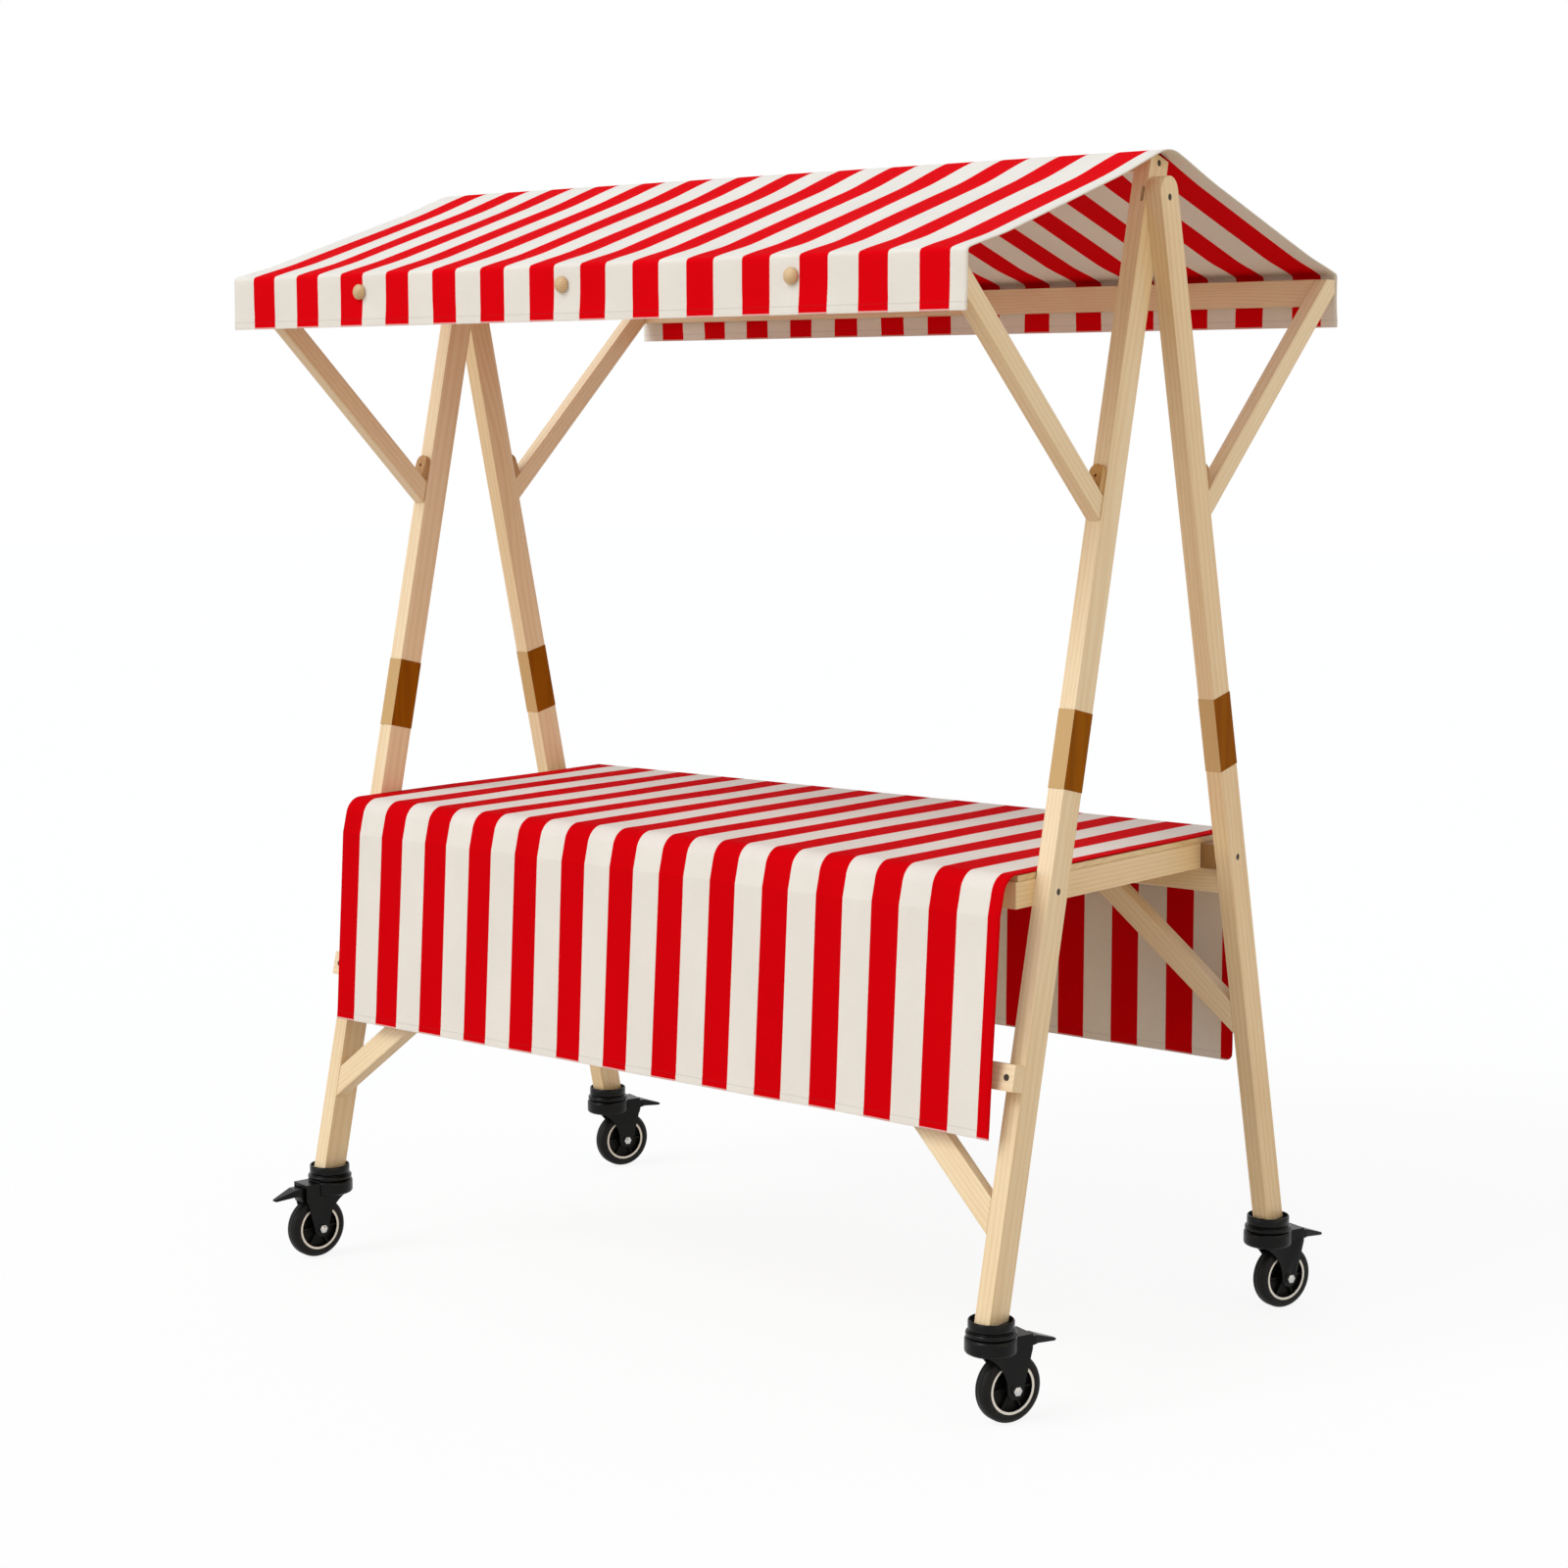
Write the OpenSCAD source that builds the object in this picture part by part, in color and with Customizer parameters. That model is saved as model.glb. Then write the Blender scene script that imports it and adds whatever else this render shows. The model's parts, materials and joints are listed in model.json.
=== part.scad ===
// Market stall on castors: two scissor A-frames, a table between them and a striped ridge canopy.
// X runs along the ridge, the customer side is -Y and the ground is z = 0. Millimetres.

/* [Trestle legs] */
// Leg thickness along the ridge
leg_w = 32; // [26:1:40]
// Leg depth across its slope
leg_d = 57; // [48:1:68]
// Distance between the leg centre lines at the feet
foot_spread = 890; // [760:10:1000]
// Height of the bolt where the two legs of a trestle cross
cross_z = 2117; // [2000:1:2200]
// Back leg left beyond the crossing bolt
back_leg_end = 37; // [34:1:50]
// Height of the brown band's middle on each leg
band_z = 1157; // [1100:1:1250]
// Width of the strap slot in the top of each front leg
slot_w = 7; // [5:0.5:10]
// Length of the strap slot
slot_len = 28; // [20:1:36]
// Length of the brown band along the leg
band_len = 140; // [80:1:200]
// Thickness of the brown band
band_t = 0.8; // [0.5:0.1:2]

/* [Canopy] */
// Length of the canopy cloth along the ridge; the trestles and the table follow it
canopy_len = 1780; // [1500:2:2000]
// Canopy left past the outer faces of the back legs
canopy_past = 0; // [0:1:30]
// Distance between the front and back valances
canopy_depth = 1212; // [1120:2:1300]
// Height above the crossing bolts at which the two slopes would meet
ridge_over = 87; // [80:1:110]
// Height of the ridge above the eaves, where the slopes turn down
roof_rise = 199; // [170:1:230]
// Drop of each valance
valance = 100; // [70:1:140]
// Cloth thickness
cloth_t = 3; // [2:0.5:5]
// Radius of the soft fold over the ridge
ridge_round = 90; // [40:5:140]
// Diameter of the wooden pegs that hold the valances
peg_d = 29; // [20:1:36]
// Distance between neighbouring pegs
peg_pitch = 528; // [400:4:600]

/* [Canopy rails and braces] */
// Eave rail thickness
eave_rail_t = 30; // [24:1:40]
// Eave rail height
eave_rail_h = 50; // [40:1:60]
// Gap between cloth and the wood that carries it
cloth_gap = 0.5; // [0.3:0.1:1]
// Room above the eave rails, under the slopes
eave_room = 7; // [4:0.5:12]
// Thickness of all braces
brace_w = 28; // [22:1:30]
// Depth of an eave brace
eave_brace_d = 40; // [32:1:50]
// Slope of the eave braces from level
eave_brace_angle = 43; // [38:1:47]
// Height of the wedge block above an eave brace
wedge_h = 54; // [40:1:70]
// Thickness of the wedge block at the leg
wedge_t = 17; // [12:0.5:22]
// Ridge pole width
ridge_pole_w = 30; // [22:1:36]
// Ridge pole height
ridge_pole_h = 26; // [24:1:36]

/* [Table] */
// Height of the table board
table_z = 951; // [880:1:1000]
// Thickness of the table board
board_t = 11; // [8:1:18]
// Front edge of the board, from the middle of the stall
board_front = 352; // [340:1:370]
// Back edge of the board, from the middle of the stall
board_back = 375; // [340:1:400]
// Play between the board's ends and the front legs
board_play = 1.5; // [0.5:0.5:4]
// Thickness of the table rails
rail_t = 30; // [24:1:40]
// Height of the table rails
rail_h = 47; // [40:1:56]
// Thickness and rounding of the nosing rail along the front of the board
nose_t = 44; // [36:1:50]
// End rails left past the board's front edge, against the nosing rail's ends
nose_lap = 8; // [4:1:14]
// Board left past the back ends of the end rails
board_past = 29; // [4:1:40]
// Rounding of the board's back edge
board_round = 4; // [2:0.5:6]
// Depth of a knee brace
knee_d = 48; // [36:1:56]
// Lowest point of the back knee braces on the legs
back_knee_z = 571; // [500:1:620]
// Slope of the back knee braces from level
knee_angle = 44; // [40:1:50]
// Height of the lower front rail's middle
low_rail_z = 605; // [580:1:640]
// Lower front rail left past the outer face of each front leg
low_rail_end = 0; // [0:1:30]
// Lowest point of the front knee braces on the legs
front_knee_z = 327; // [300:1:380]
// Slope of the front knee braces from level
front_knee_angle = 41; // [38:1:50]

/* [Table cloth] */
// Gap between each end of the table cloth and the front leg beside it
cover_play = 1; // [1:1:60]
// Height of the cloth's lower edge
cover_low = 499; // [420:1:560]
// Room between the cloth's front hem and the lower front rail; half of it at the feet of the back knee braces
cover_room = 18.4; // [16:0.2:40]

/* [Bolts] */
// Bolt shank diameter
bolt_d = 8; // [6:0.5:10]
// Bolt head diameter
bolt_head_d = 12; // [11:0.5:15]
// Depth of the head below the wood
bolt_sink = 5; // [3:0.5:8]
// Thickness of the bolt head
bolt_head_t = 4; // [3:0.5:6]

/* [Castors] */
// Wheel diameter
wheel_d = 125; // [100:1:140]
// Tread width
wheel_w = 33; // [28:1:38]
// Distance of the axle behind the swivel axis
trail = 36; // [30:1:44]
// Height of the leg's foot above the ground
foot_z = 182; // [178:1:200]
// Diameter of the upper cup that takes the leg
cup_d = 82; // [78:1:90]
// Diameter of the lower bearing ring
ring_d = 90; // [84:1:96]
// Height of the lower bearing ring
ring_h = 11; // [9:1:14]
// Depth of the skirt pressed round the fork's crown
skirt_h = 17; // [12:1:20]
// Number of ribs on each side of the hub
hub_ribs = 6; // [4:1:8]
// Thickness of the hub's ribs
rib_t = 4; // [3:0.5:6]
// Thickness of the white ring on each side of the rim
ring_t = 1.2; // [0.8:0.1:1.6]
// Thickness of the fork's pressed cheeks
cheek_t = 3.5; // [2.5:0.5:5]
// Side play between wheel and cheeks
wheel_play = 5; // [5:0.5:7]
// Diameter of the axle bolt
axle_d = 10; // [8:0.5:12]
// Diameter of the kingpin
kingpin_d = 14; // [12:0.5:16]
// Reach of the brake pedal's tip from the swivel axis
pedal_reach = 136; // [124:1:146]
// Width of the brake pedal at its root
pedal_w = 30; // [22:1:34]
// Heading of the front left castor
heading_front_left = -100; // [-180:1:180]
// Heading of the other three castors
heading_other = 70; // [-180:1:180]
// Radial clearance of each running fit
run_gap = 0.05; // [0.02:0.01:0.1]

/* [Hidden] */
$fn = 64;
SIDES = [-1, 1];
CASTORS = ["front_left", "front_right", "back_left", "back_right"];

// Trestle lines: front legs stand inside, back legs lap onto their outer faces
bay = canopy_len - 4 * leg_w - 2 * canopy_past;
front_x = bay / 2 + leg_w / 2;
back_x = front_x + leg_w;
lean = atan(foot_spread / 2 / (cross_z - foot_z));
leg_half_y = leg_d / 2 / cos(lean);
function leg_x(back) = back ? back_x : front_x;
function axis_y(z) = (cross_z - z) * tan(lean);
function face_y(z) = axis_y(z) + leg_half_y;
leg_below = (cross_z - foot_z) / cos(lean) + leg_d;

// Canopy lines
eave_y = canopy_depth / 2;
ridge_z = cross_z + ridge_over;
eave_z = ridge_z - roof_rise;
roof_slope = atan((ridge_z - eave_z) / eave_y);
valance_z = eave_z - valance;
roof_drop = cloth_t / cos(roof_slope);
ridge_blunt = ridge_round * (1 / cos(roof_slope) - 1);
roof_wood_drop = roof_drop + ridge_blunt + cloth_gap;
rail_out_y = eave_y - cloth_t - cloth_gap;
rail_in_y = rail_out_y - eave_rail_t;
eave_rail_top = eave_z - eave_room - cloth_t;
brace_drop = eave_brace_d / cos(eave_brace_angle);
ridge_y = (ridge_z - ridge_pole_h - cross_z) * tan(lean);

// Table lines
rail_top = table_z - board_t;
rail_low = rail_top - rail_h;
table_bolt_z = rail_top - rail_h / 2;
end_rail_x = bay / 2 - rail_t;
back_rail_low = rail_low - rail_h;
back_rail_y = axis_y(back_rail_low) - leg_half_y;
low_rail_out = leg_d / 2 + rail_t;
cover_len = bay - 2 * cover_play;
cover_front = axis_y(low_rail_z) + low_rail_out / cos(lean) + cover_room;
cover_back = axis_y(back_knee_z) + cover_room / 2;

// Bolt lines
bolt_gap = 0.1;
cross_len = 2 * leg_w;
peg_stem_d = peg_d / 3;
peg_head = peg_d * 0.45;
wedge_screw_d = 6;
wedge_screw_v = wedge_h * 0.6;
wedge_top_t = wedge_t * 0.6;

// Castor lines
axle_z = wheel_d / 2;
cup_floor = foot_z;
rim_h = 8;
face_gap = 0.3;
edge_cut = 2;
floor_low = cup_floor - 10;
ring_low = floor_low - ring_h;
crown_top = ring_low - face_gap;
crown_t = 9;
crown_low = crown_top - crown_t;
cheek_in = wheel_w / 2 + wheel_play;
cheek_out = cheek_in + cheek_t;
cheek_end_r = 17;
cheek_front = -cup_d * 0.46;
cheek_back = wheel_d * 0.22 + trail + 7.8;
cheek_sweep_r = 72;
hub_r = wheel_d * 0.37;
hub_rim_in = hub_r - 5;
shoulder_r = 11;
tread_groove_r = 1.2;
hub_boss_r = axle_d * 1.1;
hub_half = cheek_in - 0.5;
kingpin_head_h = 6;
pedal_pin_d = 6;
pedal_pin = [trail + wheel_d * 0.22, crown_low - 7];
shoe_drop = 23;
rim_room = 3;
cup_in_r = norm([leg_w / 2, leg_half_y + rim_h * tan(lean)]) + rim_room;

function heading(c) = c == "front_left" ? heading_front_left : heading_other;
function castor_x(c) = (c == "front_left" || c == "back_left" ? -1 : 1) * leg_x(is_back(c));
function castor_y(c) = (is_back(c) ? 1 : -1) * foot_spread / 2;
function is_back(c) = c == "back_left" || c == "back_right";

// Profile (y, z) pushed along X between two planes
module along_x(x0, x1) {
    translate([x0, 0, 0]) rotate([90, 0, 90]) linear_extrude(x1 - x0) children();
}

// Space under the slopes that wood may fill
module under_roof() {
    top = ridge_z - roof_wood_drop;
    edge = top - eave_y * tan(roof_slope);
    along_x(-canopy_len, canopy_len)
        polygon([[-eave_y, edge], [0, top], [eave_y, edge], [eave_y, 0], [-eave_y, 0]]);
}

// Leans a shape drawn upright about the crossing bolt onto a leg; y then points away from the stall
module on_leg(sx, back) {
    side = back ? 1 : -1;
    translate([sx * leg_x(back), 0, cross_z])
        rotate([side * lean, 0, 0]) mirror([0, back ? 0 : 1, 0]) children();
}

// Sunk hole for a bolt that enters at the origin along -Z
module bolt_bore(len) {
    translate([0, 0, -len]) cylinder(d = bolt_d + 2 * bolt_gap, h = len);
    translate([0, 0, -bolt_sink]) cylinder(d = bolt_head_d + 2 * bolt_gap, h = bolt_sink + 1);
}

module bolt(len) {
    translate([0, 0, -len]) cylinder(d = bolt_d, h = len - bolt_sink);
    translate([0, 0, -bolt_sink]) cylinder(d = bolt_head_d, h = bolt_head_t);
}

// Places bolts from outside along X: sx side, distance from the middle, y and z
module from_end(sx, x, y, z) {
    translate([sx * x, y, z]) rotate([0, sx * 90, 0]) children();
}

// The bolts of one side: [outer face, y, z, length]
function end_bolts() = [
    [back_x + leg_w / 2, 0, cross_z, cross_len],
    [front_x + leg_w / 2, ridge_y, ridge_z - ridge_pole_h, leg_w + rail_t],
    [front_x + leg_w / 2, -axis_y(table_bolt_z), table_bolt_z, leg_w + rail_t],
    [back_x + leg_w / 2, axis_y(table_bolt_z), table_bolt_z, cross_len + rail_t]];

module end_bores() {
    for (sx = SIDES, b = end_bolts())
        from_end(sx, b[0], b[1], b[2]) bolt_bore(b[3]);
}

// Lower front rail's bolts, square to the front legs
module at_low_bolt(sx) {
    on_leg(sx, false)
        translate([0, low_rail_out, (low_rail_mid() - cross_z) / cos(lean)]) rotate([-90, 0, 0]) children();
}
function low_rail_mid() = low_rail_z - (leg_d / 2 + rail_t / 2) * sin(lean);

module leg(sx, back) {
    color("burlywood") difference() {
        if (back) {
            round_r = leg_d / 2;
            on_leg(sx, back) along_x(-leg_w / 2, leg_w / 2) {
                translate([-round_r, -leg_below]) square([leg_d, leg_below + back_leg_end - round_r]);
                translate([0, back_leg_end - round_r]) circle(round_r);
            }
        } else intersection() {
            on_leg(sx, back) along_x(-leg_w / 2, leg_w / 2)
                translate([-leg_d / 2, -leg_below]) square([leg_d, leg_below + ridge_z - cross_z]);
            under_roof();
        }
        translate([-canopy_len, -foot_spread, foot_z - 2 * leg_d])
            cube([2 * canopy_len, 2 * foot_spread, 2 * leg_d]);
        end_bores();
        if (!back) at_low_bolt(sx) bolt_bore(rail_t + leg_d / 2);
        if (!back) on_leg(sx, back) translate([sx * leg_w / 4, leg_d / 2, 0]) strap_slot();
    }
}

// Blind slot that opens along y, with round ends
module strap_slot() {
    depth = slot_w * 1.5;
    straight = slot_len - slot_w;
    translate([-slot_w / 2, -depth, -straight / 2]) cube([slot_w, 2 * depth, straight]);
    for (sz = SIDES) translate([0, 0, sz * straight / 2]) rotate([90, 0, 0])
        cylinder(d = slot_w, h = 2 * depth, center = true);
}

module leg_bands() {
    mid = (band_z - cross_z) / cos(lean);
    color("saddlebrown") for (sx = SIDES, back = [false, true])
        on_leg(sx, back) translate([0, 0, mid - band_len / 2]) difference() {
            sleeve(leg_w / 2 + band_t, leg_d / 2 + band_t, band_len);
            translate([0, 0, -1]) sleeve(leg_w / 2, leg_d / 2, band_len + 2);
        }
}

module sleeve(half_x, half_y, h) {
    translate([-half_x, -half_y, 0]) cube([2 * half_x, 2 * half_y, h]);
}

module ridge_pole() {
    color("tan") difference() {
        intersection() {
            translate([-bay / 2, ridge_y - ridge_pole_w / 2, ridge_z - 1.5 * ridge_pole_h])
                cube([bay, ridge_pole_w, 2 * ridge_pole_h]);
            under_roof();
        }
        end_bores();
    }
}

// An eave rail runs between the inner faces of its two braces
module eave_rail(back) {
    half = leg_x(back) - brace_w / 2;
    color("burlywood") mirror([0, back ? 0 : 1, 0]) difference() {
        translate([-half, rail_in_y, eave_rail_top - eave_rail_h]) cube([2 * half, eave_rail_t, eave_rail_h]);
        at_pegs() rotate([90, 0, 0]) cylinder(d = peg_stem_d + 2 * bolt_gap, h = 4 * eave_rail_t, center = true);
    }
}

// Height at which a line of slope angle through (y0, z0) meets the outer face of a leg
function foot_of(y0, z0, angle) =
    let (m = tan(angle), t = tan(lean))
    let (y = ((cross_z - z0 + y0 * m) * t + leg_half_y) / (1 + m * t))
    [y, z0 - (y0 - y) * m];

brace_head = [rail_in_y, eave_rail_top];
brace_foot = foot_of(brace_head[0], brace_head[1], eave_brace_angle);
brace_heel = foot_of(brace_head[0], brace_head[1] - brace_drop, eave_brace_angle);
brace_tip = brace_head[1] - brace_drop + eave_rail_t * tan(eave_brace_angle);

module eave_brace(sx, back) {
    mid = leg_x(back);
    color("burlywood") mirror([0, back ? 0 : 1, 0]) along_x(sx * mid - brace_w / 2, sx * mid + brace_w / 2)
        polygon([brace_foot, brace_head, [rail_out_y, eave_rail_top], [rail_out_y, brace_tip], brace_heel]);
}

// Wedge blocks with arched tops, screwed to the leg in the angle above each eave brace
module brace_wedges() {
    opening = 90 + lean - eave_brace_angle;
    base = wedge_t / tan(opening);
    color("peru") for (sx = SIDES, back = [false, true])
        at_wedge(sx, back) difference() {
            intersection() {
                along_x(-brace_w / 2, brace_w / 2)
                    polygon([[0, 0], [wedge_t, base], [wedge_top_t, wedge_h], [0, wedge_h]]);
                rotate([-90, 0, 0]) linear_extrude(wedge_t) arch();
            }
            translate([0, 0, wedge_screw_v]) rotate([-90, 0, 0])
                cylinder(d = wedge_screw_d + 2 * bolt_gap, h = 3 * wedge_t, center = true);
        }
}

// On the leg's outer face, at the top edge of the eave brace
module at_wedge(sx, back) {
    foot = (brace_foot[1] - cross_z) / cos(lean) - leg_d / 2 * tan(lean);
    on_leg(sx, back) translate([0, leg_d / 2, foot]) children();
}

module arch() {
    translate([-brace_w / 2, -(wedge_h - brace_w / 2)]) square([brace_w, wedge_h - brace_w / 2]);
    translate([0, -(wedge_h - brace_w / 2)]) circle(brace_w / 2);
}

// Half of a roof line lowered by drop, from the ridge to the eave, with the soft fold over the ridge
function roof_line(drop, edge) =
    let (r = ridge_round - drop, top = ridge_z - ridge_round / cos(roof_slope))
    concat(
        [for (i = [0:4]) let (a = roof_slope * i / 4) [r * sin(a), top + r * cos(a)]],
        [[eave_y - edge, ridge_z - (eave_y - edge) * tan(roof_slope) - drop / cos(roof_slope)]],
        [[eave_y - edge, valance_z]]);
function reversed(points) = [for (i = [len(points) - 1:-1:0]) points[i]];
function mirrored(points) = [for (p = points) [-p[0], p[1]]];
function after_first(points) = [for (i = [1:len(points) - 1]) points[i]];

module at_pegs() {
    for (i = [-1:1]) translate([i * peg_pitch, eave_y, eave_rail_top - eave_rail_h / 2]) children();
}

module canopy() {
    outer = roof_line(0, 0);
    inner = roof_line(cloth_t, cloth_t);
    color("crimson") difference() {
        along_x(-canopy_len / 2, canopy_len / 2)
            polygon(concat(reversed(mirrored(outer)), after_first(outer),
                reversed(inner), after_first(mirrored(inner))));
        for (back = [0, 1]) mirror([0, 1 - back, 0]) at_pegs()
            rotate([90, 0, 0]) cylinder(d = peg_stem_d + 2 * bolt_gap, h = 4 * cloth_t, center = true);
    }
}

module canopy_pegs() {
    color("wheat") for (back = [0, 1]) mirror([0, 1 - back, 0]) at_pegs() rotate([-90, 0, 0])
        rotate_extrude() {
            translate([0, -eave_rail_t]) square([peg_stem_d / 2, eave_rail_t + 1]);
            intersection() {
                translate([0, cloth_gap]) square([peg_d / 2, peg_head]);
                translate([0, cloth_gap - peg_d * 0.2]) circle(peg_d * 0.62);
            }
        }
}

module end_rail(sx) {
    color("burlywood") difference() {
        translate([sx > 0 ? end_rail_x : -bay / 2, -board_front - nose_lap, rail_low])
            cube([rail_t, nose_lap + board_front + board_back - board_past, rail_h]);
        end_bores();
    }
}

// Blocks that fill the gap between the end rails and the back legs
module rail_spacers() {
    color("peru") difference() {
        for (sx = SIDES)
            translate([sx * front_x - leg_w / 2, axis_y(table_bolt_z) - leg_d / 2, rail_low])
                cube([leg_w, leg_d, rail_h]);
        end_bores();
    }
}

// Nosing rail between the end rails, with the rounded edge that the cloth falls over
module front_table_rail() {
    color("burlywood") along_x(-end_rail_x, end_rail_x) {
        translate([-board_front - nose_t, rail_low]) square([nose_t, table_z - nose_t - rail_low]);
        intersection() {
            translate([-board_front, table_z - nose_t]) circle(nose_t);
            translate([-board_front - nose_t, table_z - nose_t]) square(nose_t);
        }
    }
}

module back_table_rail() {
    half = back_x - leg_w / 2;
    color("burlywood") translate([-half, back_rail_y, back_rail_low]) cube([2 * half, rail_t, rail_h]);
}

// A knee strip drawn in the plane of the legs: x towards the middle from the leg, v up the leg
module knee_strip(top_v, angle) {
    rise = knee_d / cos(angle);
    run = 1 / tan(angle);
    polygon([[0, 0], [top_v * run, top_v], [(top_v - rise) * run, top_v], [0, rise]]);
}

module back_knee_braces() {
    low_v = (back_knee_z - cross_z) / cos(lean);
    strip_v = back_rail_low - back_knee_z + leg_d;
    color("burlywood") difference() {
        for (sx = SIDES) on_leg(sx, true)
            mirror([sx > 0 ? 1 : 0, 0, 0]) translate([leg_w / 2, brace_w - leg_d / 2, low_v])
                rotate([90, 0, 0]) linear_extrude(brace_w) knee_strip(strip_v, knee_angle);
        translate([-back_x, 0, back_rail_low]) cube([2 * back_x, foot_spread, rail_h + leg_d]);
    }
}

module lower_front_rail() {
    half = front_x + leg_w / 2 + low_rail_end;
    mid = (low_rail_mid() - cross_z) / cos(lean);
    color("burlywood") difference() {
        translate([-front_x, 0, 0]) on_leg(1, false)
            translate([-half, leg_d / 2, mid - rail_h / 2]) cube([2 * half, rail_t, rail_h]);
        for (sx = SIDES) at_low_bolt(sx) bolt_bore(rail_t + leg_d / 2);
    }
}

module front_knee_braces() {
    low_v = (front_knee_z - cross_z) / cos(lean);
    top_v = (low_rail_mid() - cross_z) / cos(lean) + rail_h / 2;
    color("burlywood") for (sx = SIDES) on_leg(sx, false)
        mirror([sx > 0 ? 1 : 0, 0, 0]) translate([leg_w / 2, leg_d / 2, low_v])
            rotate([90, 0, 0]) linear_extrude(brace_w) knee_strip(top_v - low_v, front_knee_angle);
}

module table_board() {
    half = bay / 2 - board_play;
    depth = board_front + board_back;
    color("tan") along_x(-half, half) translate([-board_front, rail_top]) {
        square([depth, board_t - board_round]);
        square([depth - board_round, board_t]);
        translate([depth - board_round, board_t - board_round]) circle(board_round);
    }
}

// Cloth line from the front hem over the nosing and the board to the back hem, moved outwards by off
function cover_line(off) =
    let (f = nose_t + cloth_gap + off, b = board_round + cloth_gap + off)
    concat(
        [[-cover_front - off, cover_low]],
        [for (i = [0:6]) let (a = 15 * i) [-board_front - f * cos(a), table_z - nose_t + f * sin(a)]],
        [for (i = [0:6]) let (a = 15 * i)
            [board_back - board_round + b * sin(a), table_z - board_round + b * cos(a)]],
        [[cover_back + off, cover_low]]);

module table_cloth() {
    color("crimson") along_x(-cover_len / 2, cover_len / 2)
        polygon(concat(cover_line(cloth_t), reversed(cover_line(0))));
}

module frame_bolts() {
    color("dimgray") {
        for (sx = SIDES, b = end_bolts()) from_end(sx, b[0], b[1], b[2]) bolt(b[3]);
        for (sx = SIDES) at_low_bolt(sx) bolt(rail_t + leg_d / 2);
        for (sx = SIDES, back = [false, true]) at_wedge(sx, back)
            translate([0, 0, wedge_screw_v]) rotate([-90, 0, 0]) cylinder(d = wedge_screw_d, h = wedge_top_t / 2);
    }
}

// Stands a castor's pieces at a leg, turned to its heading; x then trails behind the swivel axis
module at_castor(c) {
    translate([castor_x(c), castor_y(c), 0]) rotate([0, 0, heading(c)]) children();
}

module castor_cups() {
    head_top = crown_low - face_gap;
    head_r = kingpin_d * 0.8;
    pin_low = head_top - kingpin_head_h;
    rim_top = cup_floor + rim_h;
    cup_r = cup_d / 2;
    ring_r = ring_d / 2;
    color([0.06, 0.06, 0.06]) for (c = CASTORS) translate([castor_x(c), castor_y(c), 0]) rotate_extrude()
        polygon([
            [0, cup_floor], [cup_in_r, cup_floor], [cup_in_r, rim_top],
            [cup_r - edge_cut / 2, rim_top], [cup_r, rim_top - edge_cut],
            [cup_r, floor_low + edge_cut], [cup_r - edge_cut, floor_low], [cup_r - edge_cut, floor_low - edge_cut],
            [ring_r - edge_cut, floor_low - edge_cut], [ring_r, floor_low - 2 * edge_cut],
            [ring_r, ring_low + edge_cut], [ring_r - edge_cut, ring_low],
            [kingpin_d / 2, ring_low], [kingpin_d / 2, head_top], [head_r, head_top], [head_r, pin_low], [0, pin_low]]);
}

module castor_fork(c) {
    crown_r = cup_d / 2 + 1;
    color([0.08, 0.08, 0.08]) at_castor(c) difference() {
        union() {
            rotate_extrude() {
                translate([0, crown_low]) square([crown_r - edge_cut, crown_t]);
                translate([0, crown_low]) square([crown_r, crown_t - edge_cut]);
                translate([crown_r - edge_cut, crown_low + crown_t - edge_cut]) circle(edge_cut);
                translate([crown_r - cheek_t, crown_low - skirt_h]) square([cheek_t, skirt_h + 1]);
            }
            translate([0, -cheek_out, crown_low]) cube([cheek_back, 2 * cheek_out, crown_t - edge_cut]);
            for (sy = SIDES) translate([0, sy > 0 ? cheek_out : -cheek_in, 0]) rotate([90, 0, 0])
                linear_extrude(cheek_t) fork_side();
        }
        translate([crown_r - 2 * cheek_t, -cheek_in, crown_low - 2 * skirt_h])
            cube([3 * cheek_t, 2 * cheek_in, 2 * skirt_h]);
        translate([0, 0, crown_low - 1]) cylinder(d = kingpin_d + 2 * run_gap, h = crown_t + 2);
        across(trail, axle_z) cylinder(d = axle_d + 2 * run_gap, h = 4 * cheek_out, center = true);
        across(pedal_pin[0], pedal_pin[1])
            cylinder(d = pedal_pin_d + 2 * run_gap, h = 4 * cheek_out, center = true);
    }
}

// Side of the fork: from the crown and the pedal ear down to the axle, with a swept front edge
module fork_side() {
    r = cheek_end_r;
    translate([trail, axle_z]) circle(r);
    difference() {
        polygon([
            [cheek_front, crown_low + 1], [cheek_front, axle_z], [trail, axle_z], [trail + r, axle_z],
            [cheek_back, pedal_pin[1] - 2 * pedal_pin_d], [cheek_back, crown_low + 1]]);
        translate([trail - r - cheek_sweep_r, axle_z]) circle(cheek_sweep_r);
    }
}

module across(x, z) {
    translate([x, 0, z]) rotate([90, 0, 0]) children();
}

module castor_axle(c) {
    nut = axle_d * 0.7;
    color("silver") at_castor(c) across(trail, axle_z) {
        cylinder(d = axle_d, h = 2 * cheek_out, center = true);
        for (end = SIDES) mirror([0, 0, end > 0 ? 0 : 1]) translate([0, 0, cheek_out]) {
            cylinder(d = axle_d * 1.75, h = nut, $fn = 6);
            translate([0, 0, nut]) cylinder(d1 = axle_d * 1.3, d2 = axle_d * 0.6, h = 2.5);
        }
    }
}

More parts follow.
